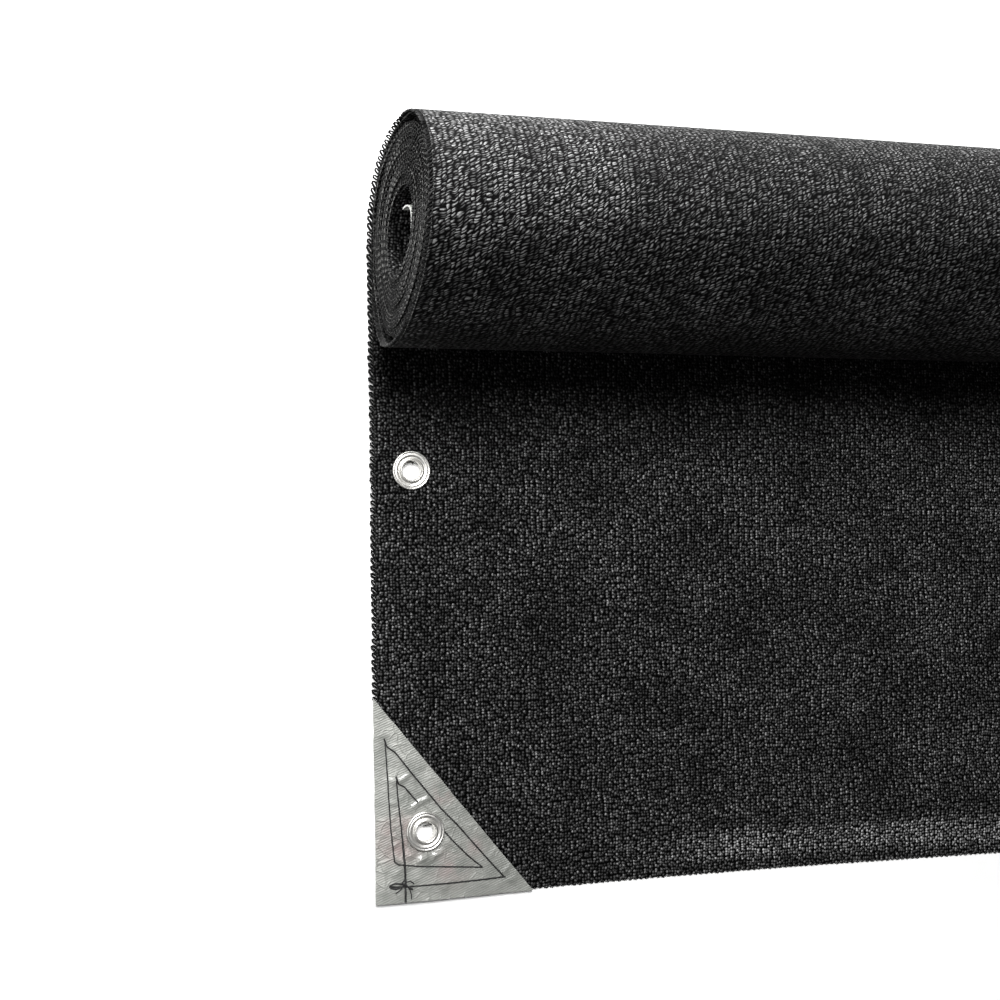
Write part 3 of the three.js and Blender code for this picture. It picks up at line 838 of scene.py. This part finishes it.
def makePatch(side):
    deselectAll()
    cells = math.ceil(patch["cells"]) + 2  # the outer two hang over the cloth's edges
    cellX, cellY = patch["alongX"] / patch["cells"], patch["alongY"] / patch["cells"]
    bpy.ops.mesh.primitive_grid_add(x_subdivisions=cells, y_subdivisions=cells, size=1)
    piece = bpy.context.object
    bpy.ops.object.mode_set(mode="EDIT")
    bpy.ops.transform.resize(value=(cells * cellX, cells * cellY, 1))
    bpy.ops.transform.translate(value=((cells / 2 - 1) * cellX, (cells / 2 - 1) * cellY, 0))
    bpy.ops.mesh.select_all(action="DESELECT")
    bpy.ops.object.mode_set(mode="OBJECT")
    for face in piece.data.polygons:
        far = math.hypot(face.center.x - cornerEyelet["x"], face.center.y - cornerEyelet["y"])
        face.select = far < patch["eyeletHole"] or pastLongEdge(face.center) > 0
    bpy.ops.object.mode_set(mode="EDIT")
    bpy.ops.mesh.select_mode(type="FACE")
    bpy.ops.mesh.delete(type="FACE")
    bpy.ops.object.mode_set(mode="OBJECT")
    for vertex in piece.data.vertices:
        past = pastLongEdge(vertex.co)
        back = past / 2 if past > -0.75 / patch["cells"] else 0  # the outermost vertices move onto the edge
        x, y = vertex.co.x - back * patch["alongX"], vertex.co.y - back * patch["alongY"]
        sway = patch["wavyEdge"] * noise.noise(Vector((0, y / patch["wavyLength"], 8)))
        top = patchTop(max(x, 0), max(y, 0))
        clothX = x if side > 0 else cloth["width"] - x
        place = onFloor(clothX, y, top)
        vertex.co = (place.x + sway * side, place.y, place.z)
    if side < 0:
        bpy.ops.object.mode_set(mode="EDIT")
        bpy.ops.mesh.select_all(action="SELECT")
        bpy.ops.mesh.flip_normals()
        bpy.ops.object.mode_set(mode="OBJECT")
    piece.data.materials.append(tarpaulin)
    thicken(piece, patch["thick"], -1)
    name = "corner_patch_sheet_" + ("left" if side > 0 else "right")
    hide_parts("corner_patch_left" if side > 0 else "corner_patch_right")
    return finishPiece(piece, name, angle=60)

sewing = {  # in mm
    "step": 0.7,  # between the points of a thread
    "stitch": 5.2,
    "dip": 0.16,  # the thread dips between stitches
    "rise": 0.1,
    "looseRise": 0.35,
    "sway": 0.12,
    "swayLength": 2.5,
}

def placesOn(way, step):  # evenly spaced places on a way, in mm, with the distance gone
    places, gone = [], 0.0
    for start, end in zip(way, way[1:]):
        length = math.dist(start, end)
        count = max(1, round(length / step))
        for share in [i / count for i in range(count)]:
            dx, dy = end[0] - start[0], end[1] - start[1]
            places.append((start[0] + dx * share, start[1] + dy * share, gone + length * share))
        gone += length
    return places + [(*way[-1], gone)]

def makeThreads(side):
    runs = []
    for run in stitchRuns + knotTails:
        loose = run in knotTails
        points = []
        for x, y, gone in placesOn(run["way"], sewing["step"]):
            stitch = sewing["dip"] * math.cos(2 * math.pi * gone / sewing["stitch"])
            rise = run["half"] + (sewing["looseRise"] if loose else sewing["rise"] + stitch)
            sway = sewing["sway"] * noise.noise(Vector((gone / sewing["swayLength"], x, y)))
            top = patchTop(max(x + sway, 0) * mm, max(y, 0) * mm) + rise * mm
            clothX = (x + sway) * mm if side > 0 else cloth["width"] - (x + sway) * mm
            points.append(onFloor(clothX, y * mm, top))
        runs.append(yarnRun(points, run["half"] * mm))
    name = "patch_thread_" + ("left" if side > 0 else "right")
    return finishPiece(joinAs(runs, thread), name, angle=80)

for side in (1, -1):
    sheet = makePatch(side)
    stitches = makeThreads(side)
print("patches sewn")

# Eyelets: pressed rings with a rolled rim, a groove and a flared neck, and a washer below

eyelet = {
    "seatBelowTop": 1.9 * mm,
    "neckRadius": 5.9 * mm,
    "sides": 56,
}

washerProfile = [  # radius and height over the floor side, in mm
    dict(radius=5.0, height=0.6), dict(radius=5.3, height=0.1), dict(radius=9.7, height=0.0),
    dict(radius=10.0, height=0.25), dict(radius=9.8, height=0.8), dict(radius=6.0, height=0.8),
]

eyeletProfile = [  # radius and height over the flange's seat, in mm
    dict(radius=9.95, height=0.0), dict(radius=10.0, height=0.45), dict(radius=9.85, height=0.85),
    dict(radius=9.55, height=1.08), dict(radius=9.2, height=1.05), dict(radius=8.95, height=0.85),
    dict(radius=8.75, height=0.78), dict(radius=8.5, height=0.9), dict(radius=8.0, height=0.98),
    dict(radius=7.5, height=0.85), dict(radius=7.1, height=0.6), dict(radius=6.75, height=0.52),
    dict(radius=6.45, height=0.66), dict(radius=6.2, height=1.1), dict(radius=5.95, height=1.5),
    dict(radius=5.65, height=1.68), dict(radius=5.35, height=1.62), dict(radius=5.12, height=1.35),
    dict(radius=5.0, height=0.8),
]

def makeEyelet(node):
    low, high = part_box(node)
    middle = (low + high) / 2
    seat = high.z - eyelet["seatBelowTop"]
    rows = [(row["radius"] * mm, seat + row["height"] * mm) for row in eyeletProfile]
    rows += [(row["radius"] * mm, low.z + row["height"] * mm) for row in washerProfile]
    rows.append((eyelet["neckRadius"], seat))
    deselectAll()
    bpy.ops.mesh.primitive_circle_add(vertices=eyelet["sides"], radius=rows[0][0],
                                      location=(middle.x, middle.y, rows[0][1]))
    piece = bpy.context.object
    bpy.ops.object.transform_apply(location=True)
    bpy.ops.object.mode_set(mode="EDIT")
    bpy.ops.mesh.select_mode(type="VERT")
    for (radius, height), (nextRadius, nextHeight) in zip(rows, rows[1:] + rows[:1]):
        share = nextRadius / radius
        bpy.ops.mesh.extrude_edges_move()
        bpy.ops.transform.resize(value=(share, share, 1), center_override=(middle.x, middle.y, height))
        bpy.ops.transform.translate(value=(0, 0, nextHeight - height))
    bpy.ops.mesh.select_all(action="SELECT")
    bpy.ops.mesh.remove_doubles(threshold=0.01 * mm)
    bpy.ops.mesh.normals_make_consistent(inside=False)
    bpy.ops.object.mode_set(mode="OBJECT")
    piece.data.materials.append(aluminium)
    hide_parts(node)
    return finishPiece(piece, "pressed_" + node, angle=60)

cutEnds = {  # yarn ends that reach into the bores, in mm from the eyelet's middle
    "eyelet_side_left": [[(-4.9, 2.6), (-3.6, 3.7), (-1.9, 4.5), (0.1, 4.7), (1.3, 3.9), (1.0, 2.9)]],
    "eyelet_corner_left": [[(-0.3, 2.5), (1.6, 2.8), (4.4, 3.0)]],
    "eyelet_side_right": [[(4.8, 1.2), (3.4, 2.0), (1.8, 2.1)]],
}

cutYarn = {
    "height": 1.9 * mm,
    "radius": 0.3 * mm,
}

def makeCutEnds():
    runs = []
    for node, ways in cutEnds.items():
        low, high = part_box(node)
        middle = (low + high) / 2
        for way in ways:
            offsets = [Vector((x, y, 0)) * mm for x, y, gone in placesOn(way, sewing["step"])]
            start = Vector((middle.x, middle.y, cutYarn["height"]))
            runs.append(yarnRun([start + offset for offset in offsets], cutYarn["radius"]))
    return finishPiece(joinAs(runs, thread), "cut_yarn_ends", angle=80)

for node in ("eyelet_corner_left", "eyelet_corner_right", "eyelet_side_left", "eyelet_side_right"):
    makeEyelet(node)
makeCutEnds()
print("eyelets pressed")

# Inner tip: the turned-over corner of the inner end's patch, which springs off the hole's roof

tipRows = [  # turn angle in degrees, drop from the roof, start and end along the roll in mm
    dict(angle=188, drop=0.6, start=1.5, end=17),
    dict(angle=181, drop=0.5, start=1.3, end=16.2),
    dict(angle=174, drop=0.6, start=1.1, end=15),
    dict(angle=168, drop=0.9, start=0.9, end=13.8),
    dict(angle=162, drop=1.5, start=0.7, end=12.2),
    dict(angle=156, drop=2.6, start=0.5, end=10.5),
    dict(angle=150, drop=4.2, start=0.3, end=8.8),
    dict(angle=144, drop=6.3, start=0.1, end=7.2),
    dict(angle=138, drop=8.4, start=0, end=5.6),
    dict(angle=131, drop=10.4, start=0, end=3.8),
]

innerTip = {
    "columns": 8,
    "thick": 0.8 * mm,
    "flat": (17 * mm, 22 * mm),
    "lastTurn": 192,  # degrees of the last, unfinished turn; the rows' angles count from its start
    "sway": 0.25,  # mm
}

def makeInnerTip():
    columns = innerTip["columns"]
    points, faces = [], []
    lastTurn = cloth["endAngle"] - innerTip["lastTurn"]
    for i, row in enumerate(tipRows):
        for j in range(columns + 1):
            x = (row["start"] + (row["end"] - row["start"]) * j / columns) * mm
            sway = innerTip["sway"] * noise.noise(Vector((i / 3, j / 3, 1)))
            depth = cloth["thick"] + (row["drop"] + sway) * mm
            points.append(rolledPoint(x, lastTurn + row["angle"], depth))
    for i in range(len(tipRows) - 1):
        for j in range(columns):
            a = i * (columns + 1) + j
            faces.append((a, a + 1, a + columns + 2, a + columns + 1))
    piece = meshPiece("inner_patch_tip", points, faces, [tarpaulin])
    thicken(piece, innerTip["thick"], 0)
    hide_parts("inner_corner_tip")
    return finishPiece(piece, "inner_patch_tip", angle=60)

makeInnerTip()
print("inner tip made")

# Camera, floor and light

camera = {
    "focalPixels": 1727,  # of a picture 1000 pixels wide
    "picturePixels": 1000,
    "sensor": 36,
    "clipStart": 0.01,
    "azimuth": -83.53,
    "elevation": 71.87,
    "roll": 82.97,
    "x": -208.7 * mm,
    "y": 169.4 * mm,
    "z": 852.8 * mm,
}

def makeCamera():
    azimuth, elevation, roll = (math.radians(camera[k]) for k in ("azimuth", "elevation", "roll"))
    level = math.cos(elevation)
    forward = Vector((-math.sin(azimuth) * level, math.cos(azimuth) * level, -math.sin(elevation)))
    right = forward.cross(Vector((0, 0, 1))).normalized()
    up = right.cross(forward)
    turnedRight = math.cos(roll) * right + math.sin(roll) * up
    turnedUp = math.cos(roll) * up - math.sin(roll) * right
    bpy.ops.object.camera_add()
    piece = bpy.context.object
    piece.name = "camera"
    place = Matrix((turnedRight, turnedUp, -forward)).transposed().to_4x4()
    place.translation = (cloth["left"] + camera["x"], cloth["front"] + camera["y"], camera["z"])
    piece.matrix_world = place
    piece.data.sensor_width = camera["sensor"]
    piece.data.lens = camera["focalPixels"] * camera["sensor"] / camera["picturePixels"]
    piece.data.clip_start = camera["clipStart"]
    bpy.context.scene.camera = piece

studio = {
    "floorSize": 8,
    "floorDrop": 0.2 * mm,
    "skyStrength": 0.06,
}

def makeFloor():
    deselectAll()
    bpy.ops.mesh.primitive_plane_add(size=studio["floorSize"], location=(0, 0, -studio["floorDrop"]))
    floor = bpy.context.object
    floor.name = "floor"
    # White paper: matt, with faint fibres
    material, tree, shader = newMaterial("white paper", {"Roughness": 0.9, "Specular IOR Level": 0.2})
    fibres = addNode(tree, "TexNoise", {"Scale": studio["floorSize"] / (20 * mm)})  # 20 mm wide
    colours = {"Factor": fibres, "A": sRgb("#f6f6f5"), "B": sRgb("#fafafa")}
    feed(tree, shader, colour=addNode(tree, "Mix", colours, data_type="RGBA").outputs["Result"])
    floor.data.materials.append(material)

lights = [  # place and aim in metres, size of the soft box in metres, power in watts
    dict(name="key light", place=(-0.75, 0.85, 1.9), aim=(-0.2, 0, 0), size=0.9, power=60),
    dict(name="rim light", place=(-0.55, 1.5, 0.36), aim=(-0.3, 0.15, 0.08), size=0.45, power=80),
    dict(name="end light", place=(-1.9, -0.3, 0.9), aim=(-0.45, 0.1, 0.05), size=0.8, power=6),
]

def makeLights():
    for row in lights:
        bpy.ops.object.light_add(type="AREA", location=row["place"])
        light = bpy.context.object
        light.name = row["name"]
        light.data.size = row["size"]
        light.data.energy = row["power"]
        aim = Vector(row["aim"]) - Vector(row["place"])
        light.rotation_euler = aim.to_track_quat("-Z", "Y").to_euler()
    world = bpy.data.worlds.new("studio")
    bpy.context.scene.world = world
    world.use_nodes = True
    background = world.node_tree.nodes["Background"]
    background.inputs["Color"].default_value = (1, 1, 1, 1)
    background.inputs["Strength"].default_value = studio["skyStrength"]
    bpy.context.scene.view_settings.view_transform = "Standard"

makeCamera()
makeFloor()
makeLights()
print("camera, floor and lights made")
